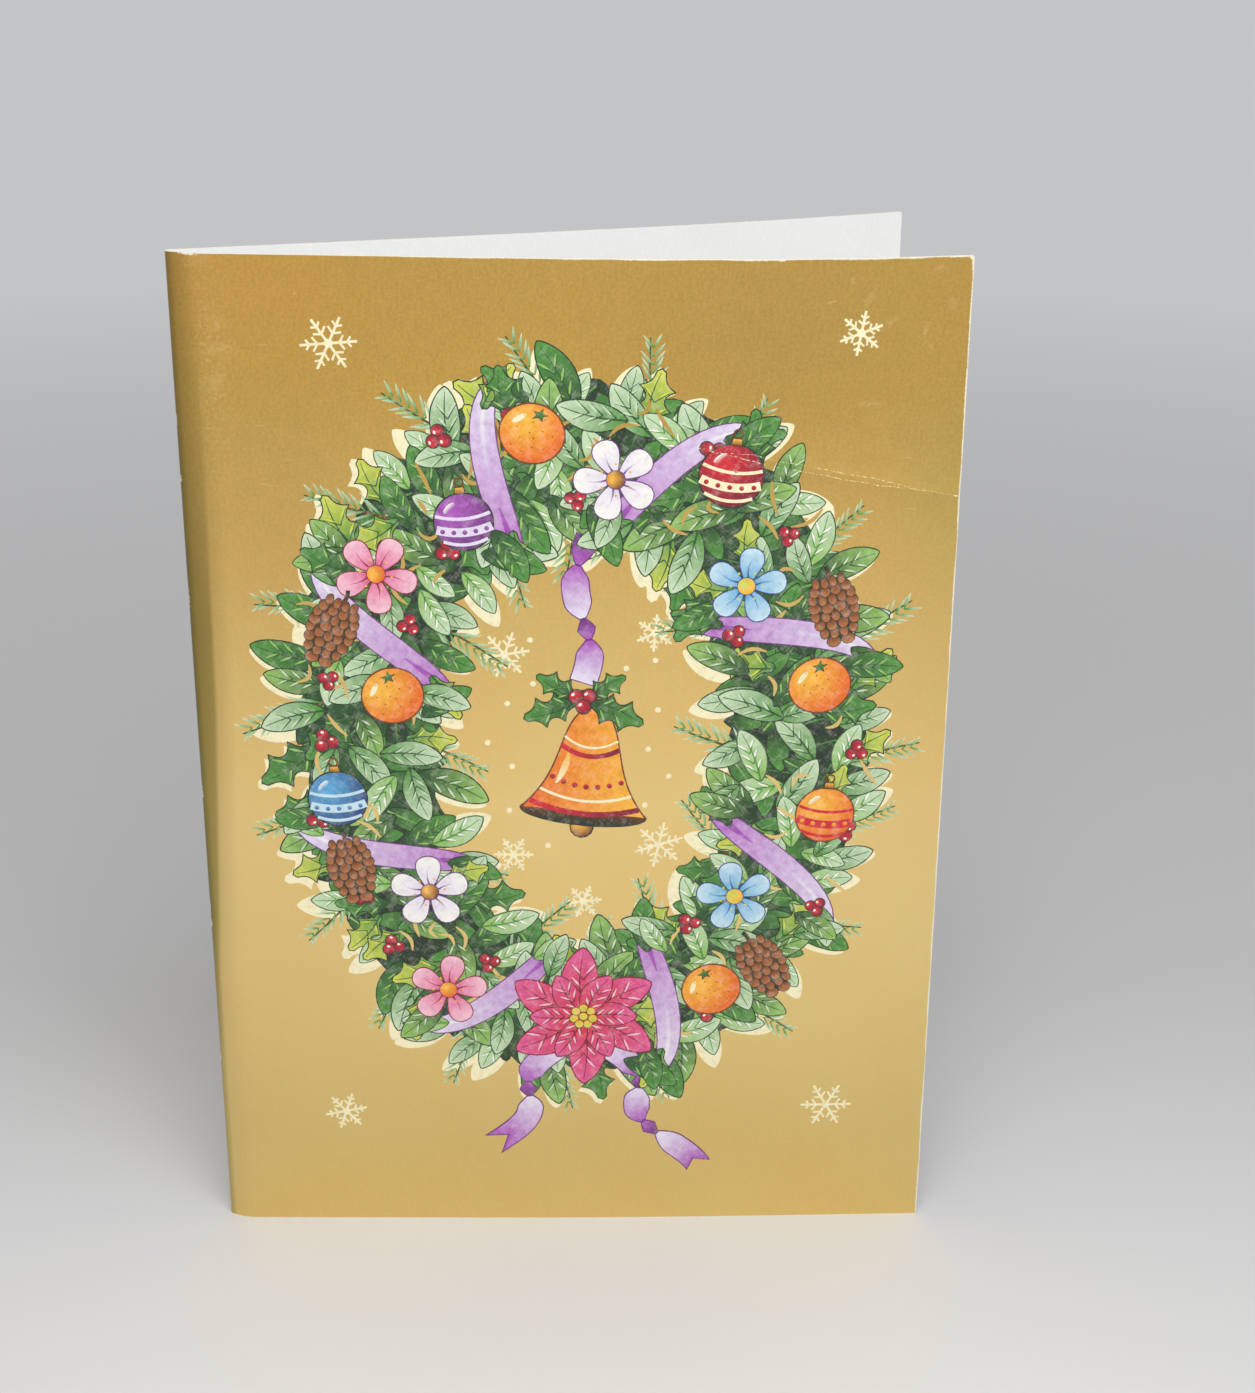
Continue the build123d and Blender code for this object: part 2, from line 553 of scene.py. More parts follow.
# Where something changes over the board, the limits are millimetres up or along, and then
# what it is at each
foil = {
    "gold": (0.945, 0.575, 0.115, 1),
    "deepGold": (0.795, 0.470, 0.078, 1),
    "paintedSheenGold": (1.0, 0.72, 0.27, 1),       # painted sheen, paler lower down
    "barePaper": (0.86, 0.80, 0.62, 1),
    "redder": (1.0, 0.978, 0.970, 1),       # soft patches of the two, a few millimetres wide
    "greener": (0.972, 0.995, 0.987, 1),
    "cracked": (0.93, 0.79, 0.38, 1),
    "scratchedAndGlinting": (0.97, 0.76, 0.34, 1),
    "scratchAndGlintStrength": 0.40,
    "roughness": 0.30,
    "coatRoughness": 0.45,
    "pebbleSize": 0.55,     # the fine unevenness of the foil
    "pebbleDepth": 0.005 * mm,
    "streakSize": (2.4, 0.40),
    "streakTurn": 86,
    "patchSize": 3.2,
    "hueSize": 2.4,
    "waveSize": 26.0,
    "waveDepth": 0.04 * mm,
    "paintedSheenUp": (156, 84),
    "paintedSheenAtFoot": (-30, 55, 0.55, 1.0),
    # Painted light and shade: a little darker towards the free edge, lighter at the very foot, and painted
    # shade over the lower part
    "paintedAcrossShade": (0, 128, 0.98, 0.975),
    "paintedFootGlow": (0, 18, 1.05, 1.0),
    "paintedFootShadeUp": (85, 25),
    "paintedFootShade": (0.835, 0.875, 0.87, 1),
    # Where the foil looks warmer, greener or darker, the warmer one at the top near the fold being a painted
    # reflection: along, up, half length, half width, turn, tint
    "tints": ((14, 173, 30, 20, 0, (1.085, 0.985, 0.965, 1)), (93, 160, 34, 36, 0, (0.905, 0.92, 0.925, 1)),
              (128, 140, 16, 26, 0, (0.925, 0.995, 0.96, 1)), (18, 130, 24, 34, 0, (0.95, 0.93, 0.90, 1))),
    # Painted shade on the strip between the fold and the soft crease, and on its first millimetre at the
    # crown
    "paintedSpineShade": (0.35, 0.36, 0.12, 1),
    "spineEnds": ((50, 100, 1.5, 4.15), (100, 170, 0.0, 1.25)),     # how far along, at these heights
    "spineAtCrease": (172, 115, 0.0, 0.75),
    "spineBeyond": (0.0, 3.5, 0.35, 0.0),
    "spineSoftness": 0.35,
    "spineAtHead": (178, 125, 0.78, 1.0),
    "spineAtFoot": (30, 62, 0.15, 1.0),
    "paintedCrownShade": (0.66, 0.68, 0.56, 1),
    "crownReach": (1.7, 0.5),
}


def goldFoil():
    material, tree, shader = startMaterial("gold foil")
    flat = flatPlace(tree)
    along, up = alongAndUp(tree, flat)
    worn = useGroup(tree, cardWear, Flat=flat)
    pebble = noise(tree, flat, foil["pebbleSize"], 3.0, 0.55)
    streak = noise(tree, flat, foil["streakSize"], 3.0, 0.6, foil["streakTurn"])
    wave = noise(tree, flat, foil["waveSize"], 1.0)
    wide = bump(tree, wave, foil["waveDepth"])
    fine = bump(tree, maths(tree, "MULTIPLY_ADD", streak, 0.5, pebble), foil["pebbleDepth"], wide)
    tree.links.new(fine, shader.inputs["Normal"])

    mottle = maths(tree, "MULTIPLY_ADD", pebble, 0.5, product(tree, streak, 0.25))
    mottle = maths(tree, "MULTIPLY_ADD", noise(tree, flat, foil["patchSize"]), 0.15, mottle)
    colour = mixColours(tree, spread(tree, mottle, 0.31, 0.59), foil["deepGold"], foil["gold"])
    # Painted sheen: the gold turns paler lower down, a painted reflection
    paintedSheen = product(tree, spread(tree, up, *foil["paintedSheenUp"]), spread(tree, up, *foil["paintedSheenAtFoot"]),
                   spread(tree, wave, 0.2, 0.7, 0.85, 1.0))
    colour = mixColours(tree, paintedSheen, colour, foil["paintedSheenGold"])

    def tinted(share, tint):
        return mixColours(tree, share, colour, tint, "MULTIPLY")

    cover = spread(tree, along, -1, 0)
    # Painted light and shade: darker towards the free edge, lighter at the very foot, painted shade lower
    # down
    across, glow = spread(tree, along, *foil["paintedAcrossShade"]), spread(tree, up, *foil["paintedFootGlow"])
    colour = tinted(1.0, product(tree, across, glow))
    colour = tinted(spread(tree, up, *foil["paintedFootShadeUp"]), foil["paintedFootShade"])
    # Soft patches of tint; the warm one at the top near the fold is a painted reflection
    for *spot, tint in foil["tints"]:
        colour = tinted(product(tree, softOval(tree, flat, *spot), cover), tint)
    hue = product(tree, noise(tree, flat, foil["hueSize"], 3.0, 0.6), 0.6)
    hue = spread(tree, maths(tree, "MULTIPLY_ADD", wave, 0.4, hue), 0.38, 0.62)
    colour = tinted(1.0, mixColours(tree, hue, foil["redder"], foil["greener"]))

    # Painted shade on the strip beside the fold, darkest at the fold and half way up. It ends at the soft
    # crease, with a little of the shade beyond it, and towards the head it fades out
    creaseAlong = maths(tree, "ADD", *[spread(tree, up, *limits) for limits in foil["spineEnds"]])
    pastCrease = maths(tree, "SUBTRACT", along, creaseAlong)
    atCrease = spread(tree, up, *foil["spineAtCrease"])
    within = spread(tree, maths(tree, "DIVIDE", along, creaseAlong), 0.0, 1.0, 1.0, atCrease)
    beyond = product(tree, spread(tree, pastCrease, *foil["spineBeyond"]), atCrease)
    spineShadeShare = spread(tree, pastCrease, -foil["spineSoftness"], foil["spineSoftness"], within, beyond)
    spineShadeShare = product(tree, spineShadeShare, spread(tree, up, *foil["spineAtHead"]),
                       spread(tree, up, *foil["spineAtFoot"]), cover)
    colour = tinted(spineShadeShare, foil["paintedSpineShade"])
    # Painted shade on the first millimetre beside the crown of the fold
    colour = tinted(product(tree, spread(tree, along, *foil["crownReach"]), cover), foil["paintedCrownShade"])

    # Scratches, smudges and the painted glints lighten the gold
    scratchedAndGlinting = product(tree, worn["ScratchAndGlint"], foil["scratchAndGlintStrength"])
    colour = mixColours(tree, scratchedAndGlinting, colour, foil["scratchedAndGlinting"])
    colour = mixColours(tree, worn["Cracked"], colour, foil["cracked"])
    colour = mixColours(tree, worn["Bare"], colour, foil["barePaper"])
    tree.links.new(colour, shader.inputs["Base Color"])
    bare = maths(tree, "MAXIMUM", worn["Bare"], worn["Cracked"])
    tree.links.new(maths(tree, "SUBTRACT", 1, bare), shader.inputs["Metallic"])
    roughness = spread(tree, mottle, 0.25, 0.65, foil["roughness"] + 0.03, foil["roughness"] - 0.03)
    roughness = maths(tree, "ADD", roughness, product(tree, worn["ScratchAndGlint"], 0.15))
    roughness = maths(tree, "MAXIMUM", roughness, product(tree, bare, 0.8))
    tree.links.new(roughness, shader.inputs["Roughness"])
    setInputs(shader, **{"Coat Weight": 1.0, "Coat Roughness": foil["coatRoughness"]})
    return material


paper = {
    "insideColours": ((0.82, 0.82, 0.805, 1), (0.86, 0.86, 0.85, 1)),
    "edgeColours": ((0.78, 0.72, 0.56, 1), (0.90, 0.87, 0.76, 1)),
    "insideRoughness": 0.75,
    "edgeRoughness": 0.85,
    "fibreSize": (1.4, 0.35),
    "fibreTurn": 80,
    "fibreDepth": 0.006 * mm,
    "cloudSize": 12.0,
    "layerSize": 0.4,
}


def insidePaper():
    material, tree, shader = startMaterial("inside paper")
    flat = flatPlace(tree)
    fibre = noise(tree, flat, paper["fibreSize"], 3.0, 0.5, paper["fibreTurn"])
    tree.links.new(bump(tree, fibre, paper["fibreDepth"]), shader.inputs["Normal"])
    cloud = noise(tree, flat, paper["cloudSize"])
    tone = maths(tree, "MULTIPLY_ADD", cloud, 0.4, product(tree, fibre, 0.6))
    colour = mixColours(tree, spread(tree, tone, 0.35, 0.65), *paper["insideColours"])
    tree.links.new(colour, shader.inputs["Base Color"])
    setInputs(shader, Roughness=paper["insideRoughness"])
    return material


def cutEdge():
    material, tree, shader = startMaterial("cut board edge")
    layers = noise(tree, flatPlace(tree), paper["layerSize"])
    tree.links.new(mixColours(tree, layers, *paper["edgeColours"]), shader.inputs["Base Color"])
    setInputs(shader, Roughness=paper["edgeRoughness"])
    return material


goldMaterial = goldFoil()


def cardSheet():
    height = board["height"]
    deselectAll()
    bpy.ops.mesh.primitive_plane_add(size=1, location=(0, 0, 0))
    sheet = bpy.context.object
    sheet.name = "folded_sheet"
    for vertex in sheet.data.vertices:
        vertex.co = (vertex.co.x * 2 * leafReach, (vertex.co.y + 0.5) * height, 0)
    editAll(sheet)
    bpy.ops.mesh.bevel(offset=board["cornerRadius"], segments=5, affect="VERTICES")
    endEdit()
    cutForFolding(sheet)
    flatMap(sheet)
    foldOnto(sheet)
    for material in (goldMaterial, insidePaper(), cutEdge()):
        sheet.data.materials.append(material)
    solid = sheet.modifiers.new("thickness", "SOLIDIFY")
    solid.thickness = board["thickness"]
    solid.offset = 0
    solid.use_even_offset = True
    solid.material_offset = 1
    solid.material_offset_rim = 2
    applyModifiers(sheet)
    bpy.ops.object.shade_smooth_by_angle(angle=radians(40))
    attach(sheet, "root")
    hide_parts("folded_card")
    print("sheet", len(sheet.data.polygons), "faces")


cardSheet()

# The print: a wreath of leaves, fruit and flowers round a bell. Each motif is modelled
# flat, copied to its places and raised by whole steps, so that shapes overlap in order.
# The whole layer is then folded onto the board. Sizes here are in millimetres.
printing = {
    "centre": (66.0, 95.0),
    "halfWidth": 36.5,          # to the middle of the wreath
    "halfHeight": 52.0,
    "halfBand": 13.0,
    "lowest": 0.015,            # how far the lowest ink stands off the foil
    "step": 0.0025,
    "sunk": 0.02,
    "line": 0.20,
    "halo": (-0.55, -0.85),     # how far the pale underprint is out of register
    "ribbonWidth": 4.8,
    "wobble": 0.35,             # how unevenly one ink runs into the other
    "wobbleSize": 1.3,
    "grain": 0.16,
    "roughness": 0.5,
    "seed": 11,
}

# Steps above the lowest ink at which each kind of shape starts
levels = {"ground": 2, "shadeLeaves": 3, "sprigs": 7, "leaves": 9, "goldStrokes": 22, "ribbon": 23,
          "coverLeaves": 26, "berries": 32, "ornaments": 38}

chance = random.Random(printing["seed"])


def display(red, green, blue):
    shares = (red / 255, green / 255, blue / 255)
    return tuple(share / 12.92 if share <= 0.04045 else ((share + 0.055) / 1.055) ** 2.4 for share in shares)


inks = {
    "night": display(34, 50, 34),
    "pine": display(48, 86, 46),
    "leaf": display(84, 148, 62),
    "spring": display(148, 192, 100),
    "mint": display(200, 222, 184),
    "lime": display(208, 214, 84),
    "red": display(214, 38, 52),
    "wine": display(136, 26, 52),
    "rose": display(228, 92, 150),
    "blush": display(248, 196, 210),
    "plum": display(112, 52, 124),
    "orchid": display(178, 92, 190),
    "lilac": display(202, 178, 226),
    "mist": display(232, 222, 242),
    "navy": display(50, 76, 130),
    "sky": display(96, 172, 220),
    "ice": display(200, 228, 240),
    "orange": display(236, 112, 36),
    "amber": display(252, 188, 62),
    "brown": display(122, 62, 34),
    "tan": display(184, 118, 68),
    "cream": display(250, 240, 196),
    "white": display(250, 248, 240),
}


# Each shape has an ink and a second one that it runs into. The alpha of the first says
# whether it does so from the middle outwards, as on a ball, or across
def printedInk():
    material, tree, shader = startMaterial("printed ink")
    flat = flatPlace(tree)
    worn = useGroup(tree, cardWear, Flat=flat)
    ink = addNode(tree, "ShaderNodeVertexColor", layer_name="ink").outputs
    shadeInk = addNode(tree, "ShaderNodeVertexColor", layer_name="shadeInk").outputs
    shade = addNode(tree, "ShaderNodeUVMap", uv_map="shade").outputs[0]
    ball = ink["Alpha"]
    factor = maths(tree, "MULTIPLY_ADD", alongAndUp(tree, shade)[0], maths(tree, "SUBTRACT", 1, ball),
                   product(tree, vectorLength(tree, shade), ball))
    wobble = maths(tree, "SUBTRACT", noise(tree, flat, printing["wobbleSize"]), 0.5)
    factor = maths(tree, "MULTIPLY_ADD", wobble, printing["wobble"], factor)
    colour = mixColours(tree, spread(tree, factor, 0.08, 0.92), ink["Color"], shadeInk["Color"])
    colour = useGroup(tree, drawnGrain, Flat=flat, Colour=colour, Strength=printing["grain"])["Colour"]
    colour = mixColours(tree, product(tree, worn["Cracked"], 0.8), colour, (*inks["cream"], 1))
    tree.links.new(colour, shader.inputs["Base Color"])
    setInputs(shader, Roughness=printing["roughness"])
    return material


# Two inks for each face, and a map of how far one runs into the other
def paint(motif, fill, shade, line, shading):
    mesh = motif.data
    stripMap = [loop.uv.copy() for loop in mesh.uv_layers[0].data] if shading == "strip" else []
    while mesh.uv_layers:
        mesh.uv_layers.remove(mesh.uv_layers[0])
    ink = mesh.color_attributes.new("ink", "FLOAT_COLOR", "CORNER")
    shadeInk = mesh.color_attributes.new("shadeInk", "FLOAT_COLOR", "CORNER")
    shadeMap = mesh.uv_layers.new(name="shade")
    xs = [vertex.co.x for vertex in mesh.vertices]
    ys = [vertex.co.y for vertex in mesh.vertices]
    wide, tall = max(xs) - min(xs), max(ys) - min(ys)
    for face in mesh.polygons:
        inside = face.select or line is None
        first, second = (inks[fill], inks[shade]) if inside else (inks[line], inks[line])
        for corner in face.loop_indices:
            spot = mesh.vertices[mesh.loops[corner].vertex_index].co
            x, y = (spot.x - min(xs)) / wide, (spot.y - min(ys)) / tall
            ink.data[corner].color = (*first, 1.0 if shading == "ball" else 0.0)
            shadeInk.data[corner].color = (*second, 1.0)
            if shading == "ball":
                shadeMap.data[corner].uv = ((x - 0.36) * 1.5, (y - 0.66) * 1.5)
            else:
                run = {"strip": stripMap[corner].x if stripMap else 0, "along": 1 - x, "rise": 1 - y}[shading]
                shadeMap.data[corner].uv = (run, 0)
    return motif


def insetLine(motif, width):
    editAll(motif)
    bpy.ops.mesh.inset(thickness=width * mm, use_even_offset=True)
    endEdit()


def flatShape(points, fill, shade, line=None, shading="rise", lineWidth=printing["line"]):
    deselectAll()
    bpy.ops.mesh.primitive_circle_add(vertices=len(points), radius=mm, fill_type="NGON")
    motif = bpy.context.object
    for vertex, (x, y) in zip(motif.data.vertices, points):
        vertex.co = (x * mm, y * mm, 0)
    if line is not None:
        insetLine(motif, lineWidth)
    return paint(motif, fill, shade, line, shading)


# A ribbon or a stroke along a path, with a notch in its end if it has a cut one. Path and
# width take a share from 0 to 1
def stripShape(path, width, steps, fill, shade, line=None, notch=0.0):
    deselectAll()
    bpy.ops.mesh.primitive_grid_add(x_subdivisions=steps, y_subdivisions=2 if notch else 1, size=1)
    motif = bpy.context.object
    for vertex in motif.data.vertices:
        share, aside = vertex.co.x + 0.5, vertex.co.y
        if abs(aside) < 0.1:
            share -= notch * clamp(2 * share - 1)
        x, y = path(share)
        aheadX, aheadY = path(share + 0.01)
        behindX, behindY = path(share - 0.01)
        length = hypot(aheadX - behindX, aheadY - behindY)
        x -= (aheadY - behindY) / length * width(share) * aside
        y += (aheadX - behindX) / length * width(share) * aside
        vertex.co = (x * mm, y * mm, 0)
    if line is not None:
        insetLine(motif, printing["line"])
    return paint(motif, fill, shade, line, "strip")


def joinShapes(name, shapes):
    deselectAll()
    for shape in shapes:
        shape.select_set(True)
    bpy.context.view_layer.objects.active = shapes[0]
    if len(shapes) > 1:
        bpy.ops.object.join()
    shapes[0].name = name
    return shapes[0]


def moved(shape, x=0.0, y=0.0, turn=0.0, size=1.0, steps=0, flip=1):
    resize = Matrix.Diagonal((size, size * flip, 1, 1))
    shift = Matrix.Translation((x * mm, y * mm, steps * printing["step"] * mm))
    shape.data.transform(shift @ Matrix.Rotation(radians(turn), 4, "Z") @ resize)
    return shape


# A copy with its own mesh
def placed(motif, *where, **how):
    copy = motif.copy()
    copy.data = motif.data.copy()
    scene.collection.objects.link(copy)
    return moved(copy, *where, **how)


def drop(*motifs):
    for motif in motifs:
        bpy.data.objects.remove(motif)


def oval(count, halfLength, halfWidth, sharpness=1.0):
    points = []
    for index in range(count):
        angle = 2 * pi * index / count
        side = sin(angle)
        y = halfWidth * abs(side) ** sharpness * (1 if side >= 0 else -1)
        points.append((halfLength * cos(angle), y))
    return points


def dot(count, halfLength, halfWidth, ink, shade=None):
    return flatShape(oval(count, halfLength, halfWidth), ink, shade or ink)


# Paths and widths for strips, which take a share from 0 to 1

def straight(startX, startY, endX, endY):
    return lambda share: (mix(startX, endX, share), mix(startY, endY, share))


def girdle(half, rise, sag):
    return lambda share: (half * (2 * share - 1), rise - sag * (1 - (2 * share - 1) ** 2))


def loopPath(radius):
    return lambda share: (radius * cos(2 * pi * share), radius * sin(2 * pi * share))


def even(width):
    return lambda share: width


def tapered(width, loss):
    return lambda share: width * (1 - loss * share)


def swelling(width, start=0.1, span=0.8):
    return lambda share: width * sin(pi * (start + span * share))


# Leaves point along +X from the stalk at the origin

def laurelLeaf(length, width):
    return [(x + length / 2, y + width * 0.10 * sin(pi * (x / length + 0.5)))
            for x, y in oval(28, length / 2, width / 2, 1.4)]


def hollyLeaf(length, width, spines=3):
    perSide = spines * 6
    points = []
    for side in (1, -1):
        for index in range(1, perSide + 1):
            share = index / perSide if side == 1 else 1 - index / perSide
            nearSpine = abs(2 * ((share * spines) % 1.0) - 1)
            half = width / 2 * sin(pi * share) ** 0.6 * (0.48 + 0.52 * nearSpine ** 2.2)
            points.append((length * share, side * half))
    return points


def veins(length, width, pairs, ink, glow):
    midrib = stripShape(lambda share: (length * (0.02 + 0.9 * share), width * 0.10 * sin(pi * share)),
                        tapered(0.36, 0.7), 5, ink, ink)
    strokes = [midrib]
    for index in range(pairs):
        root = length * (0.16 + 0.56 * index / pairs)
        for side in (1, -1):
            vein = straight(root, 0, root + 0.20 * length, side * 0.31 * width)
            gleam = straight(root + 0.09 * length, side * 0.08 * width,
                             root + 0.22 * length, side * 0.30 * width)
            strokes.append(stripShape(vein, tapered(0.24, 0.6), 2, ink, ink))
            strokes.append(stripShape(gleam, swelling(0.42), 2, glow, glow))
    return joinShapes("veins", strokes)


def leafMotif(kind, length, width, fill, shade, line="night", veinInk="pine", glow="mint"):
    outline = hollyLeaf(length, width) if kind == "holly" else laurelLeaf(length, width)
    blade = flatShape(outline, fill, shade, line, "along")
    marks = moved(veins(length, width, 2 if kind == "holly" else 3, veinInk, glow), steps=1)
    return joinShapes(kind + "_leaf", [blade, marks])


def needleSprig(length, pairs, fill, shade):
    strokes = [stripShape(lambda share: (length * share, 0.6 * sin(2 * share)), tapered(0.55, 0.6), 5,
                          "brown", "pine")]
    for index in range(pairs):
        root = length * (0.06 + 0.92 * index / pairs)
        reach = 4.8 * (1 - 0.45 * index / pairs)
        for side in (1, -1):
            tilt = radians(36 + 7 * sin(index * 2.3 + side))
            needle = straight(root, 0, root + reach * cos(tilt), side * reach * sin(tilt))
            needle = stripShape(needle, swelling(0.5, 0.12, 0.83), 3, fill, shade)
            strokes.append(moved(needle, steps=(index + side) % 2))
    return joinShapes("needle_sprig", strokes)


def berry(radius=1.15):
    ball = flatShape(oval(16, radius, radius), "red", "wine", "night", "ball", 0.15)
    glint = dot(6, radius * 0.27, radius * 0.19, "white")
    return joinShapes("berry", [ball, moved(glint, -radius * 0.32, radius * 0.36, 30, steps=1)])


def berryCluster():
    parts = [moved(berry(), 1.05 * cos(angle), 1.05 * sin(angle), steps=2 * index)
             for index, angle in enumerate((0.4, 2.5, 4.6))]
    return joinShapes("berry_cluster", parts)


def tangerine(radius=5.4):
    parts = [flatShape(oval(36, radius, radius * 0.94), "amber", "orange", "brown", "ball", 0.26)]
    calyx = []
    for index in range(10):
        reach, angle = (1, 0.4)[index % 2], pi * index / 5
        calyx.append((1.5 * reach * cos(angle), 1.2 * reach * sin(angle)))
    calyx = flatShape(calyx, "leaf", "pine", "night", lineWidth=0.10)
    parts.append(moved(calyx, 0.5, radius * 0.60, 10, steps=1))
    parts.append(moved(dot(12, 1.3, 0.45, "cream"), -radius * 0.48, radius * 0.36, 44, steps=1))
    for index in range(16):
        angle, reach = 2.4 * index, radius * 0.8 * (index / 16) ** 0.5
        pore = dot(5, 0.17, 0.17, "orange", "brown")
        parts.append(moved(pore, reach * cos(angle) + 0.4, reach * sin(angle) - 0.7, steps=1))
    return joinShapes("tangerine", parts)


def petalPoints(length, width):
    return [(length * (0.56 + 0.5 * cos(angle)), width / 2 * sin(angle) * (0.70 + 0.34 * cos(angle)))
            for angle in [2 * pi * step / 20 for step in range(20)]]


def blossom(length, width, fill, shade, line, heart, heartShade, petals=5):
    parts = []
    for index in range(petals):
        petal = flatShape(petalPoints(length, width), fill, shade, line, "along", 0.18)
        streak = stripShape(lambda share: (length * (0.22 + 0.5 * share), 0.3 * sin(3 * share)),
                            tapered(0.34, 0.8), 3, line, shade)
        petal = joinShapes("petal", [petal, moved(streak, steps=1)])
        level = 4 if index == petals - 1 else 2 * (index % 2)
        parts.append(moved(petal, turn=360 * index / petals + 8, steps=level))
    middle = flatShape(oval(16, length * 0.25, length * 0.25), heart, heartShade, line, "ball", 0.14)
    parts.append(moved(middle, steps=6))
    for index in range(6):
        angle, reach = pi * index / 3, length * 0.40
        parts.append(moved(dot(6, 0.22, 0.22, heart), reach * cos(angle), reach * sin(angle), steps=6))
    return joinShapes("blossom", parts)


def bauble(radius, fill, shade, line, stripe):
    parts = [flatShape(oval(36, radius, radius), fill, shade, line, "ball", 0.24)]
    for rise, thick in ((-0.20, 1.5), (0.26, 0.55), (-0.62, 0.55)):
        band = girdle(radius * 0.93 * (1 - rise * rise) ** 0.5, radius * rise, radius * 0.16)
        parts.append(moved(stripShape(band, even(thick), 10, stripe, stripe), steps=1))
    for index in range(5):
        x = radius * 0.36 * (index - 2)
        y = radius * (-0.20 - 0.16 * (1 - (x / radius) ** 2))
        parts.append(moved(dot(8, 0.42, 0.42, fill, shade), x, y, steps=2))
    cap = flatShape([(-1.0, 0), (1.0, 0), (0.8, 1.3), (-0.8, 1.3)], "amber", "brown", "night", "rise", 0.14)
    parts.append(moved(cap, 0, radius * 0.93, steps=1))
    loop = stripShape(loopPath(0.75), even(0.28), 12, "brown", "brown")
    parts.append(moved(loop, 0, radius + 1.6, steps=1))
    parts.append(moved(dot(12, 1.25, 0.5, "white", fill), -radius * 0.42, radius * 0.50, 42, steps=2))
    return joinShapes("bauble", parts)


# A hanging cone: rows of scales from its tip up, each row over the one below
def pineCone(length=12.0, width=8.6, rowCount=8):
    parts = [flatShape(oval(24, width * 0.42, length * 0.48), "brown", "night", "night")]
    for row in range(rowCount):
        rise = (row + 0.5) / rowCount
        half = width / 2 * sin(pi * (0.12 + 0.72 * rise)) ** 0.8
        count = max(2, round(half)) + (row % 2)
        for index in range(count):
            x = half * (2 * index + 1 - count) / count
            scale = flatShape(oval(10, half / count * 1.02, 1.05), "brown", "tan", "night", "rise", 0.12)
            parts.append(moved(scale, x, length * (rise - 0.52) + 0.05 * x * x, steps=1 + row))
    stalk = stripShape(lambda share: (0.3 * sin(3 * share), length * 0.44 + 2.6 * share), even(0.7), 3,
                       "brown", "night")
    return joinShapes("pine_cone", parts + [moved(stalk, steps=rowCount + 1)])


# Two rings of coloured leaves round a heart of little balls
def poinsettia():
    parts = []
    for length, width, start, level in ((14.0, 6.8, 0, 0), (9.6, 5.0, 30, 6)):
        for index in range(6):
            bract = flatShape(laurelLeaf(length, width), "rose", "red", "wine", "along", 0.22)
            bract = joinShapes("bract", [bract, moved(veins(length, width, 3, "wine", "blush"), steps=1)])
            parts.append(moved(bract, turn=start + 60 * index, steps=level + 2 * (index % 3)))
    for index in range(8):
        reach, angle = (1.7, 2 * pi * index / 7) if index < 7 else (0, 0)
        seed = flatShape(oval(12, 0.9, 0.9), "lime", "amber", "brown", "ball", 0.14)
        parts.append(moved(seed, reach * cos(angle), reach * sin(angle), steps=12 + index % 2))
    return joinShapes("poinsettia", parts)


def bell(height=20.0, sag=1.7):
    def half(share):
        return 5.2 * max(1 - share ** 4, 0) ** 0.5 + 5.8 * (1 - share) ** 3.2

    outline = [(half(index / 16), height * index / 16) for index in range(17)]
    outline += [(-x, y) for x, y in outline[-2::-1]]
    parts = [moved(flatShape(oval(12, 2.1, 2.1), "amber", "brown", "night", "ball", 0.2), 0, -2.6)]
    parts.append(moved(flatShape(oval(36, 10.9, 2.4), "brown", "night", "night"), steps=1))
    parts.append(moved(flatShape(outline, "amber", "orange", "brown", "along", 0.26), steps=2))
    for rise, thick, ink, shade in ((0.08, 1.0, "red", "wine"), (0.20, 0.5, "cream", "cream"),
                                    (0.62, 0.9, "red", "wine"), (0.70, 0.4, "cream", "cream")):
        band = girdle(half(rise) * 0.97, height * rise, sag)
        parts.append(moved(stripShape(band, even(thick), 14, ink, shade), steps=3))
    sheen = stripShape(lambda share: (-3.6 - 1.6 * (1 - share) ** 2, height * (0.26 + 0.3 * share)),
                       swelling(1.2, 0.06, 0.88), 8, "cream", "amber")
    parts.append(moved(sheen, steps=3))
    for index in range(7):
        x = 2.1 * (index - 3)
        y = height * 0.335 - sag * (1 - (x / 7) ** 2)
        parts.append(moved(dot(8, 0.5, 0.5, "red", "wine"), x * 0.93, y, steps=3))
    return joinShapes("bell", parts)


def snowflake(reach):
    arms = []
    for arm in range(6):
        parts = [stripShape(straight(0, 0, reach, 0), even(0.42), 2, "cream", "cream")]
        for root, length in ((0.38, 0.30), (0.66, 0.22)):
            for side in (1, -1):
                barb = straight(reach * root, 0, reach * (root + length * 0.55), side * reach * length * 0.83)
                parts.append(moved(stripShape(barb, even(0.34), 1, "cream", "cream"), steps=1))
        arms.append(moved(joinShapes("arm", parts), turn=60 * arm, steps=arm % 3))
    return joinShapes("snowflake", arms + [moved(dot(6, 0.8, 0.8, "cream"), steps=3)])


# Places round the wreath: a turn in degrees from +X, and how far outside its middle

def ringSpot(turn, aside=0.0):
    angle = radians(turn)
    across, rise = printing["halfWidth"], printing["halfHeight"]
    outX, outY = rise * cos(angle), across * sin(angle)
    length = hypot(outX, outY)
    centreX, centreY = printing["centre"]
    x = centreX + across * cos(angle) + aside * outX / length
    y = centreY + rise * sin(angle) + aside * outY / length
    return x, y, degrees(atan2(outY, outX))


def ringTurns(aside, spacing):
    across, rise = printing["halfWidth"] + aside, printing["halfHeight"] + aside
    count = int(2 * pi * ((across ** 2 + rise ** 2) / 2) ** 0.5 / spacing)
    return [360 * index / count for index in range(count)]


# The spot so many millimetres ahead of another one
def ahead(x, y, heading, reach):
    return x + reach * cos(radians(heading)), y + reach * sin(radians(heading))


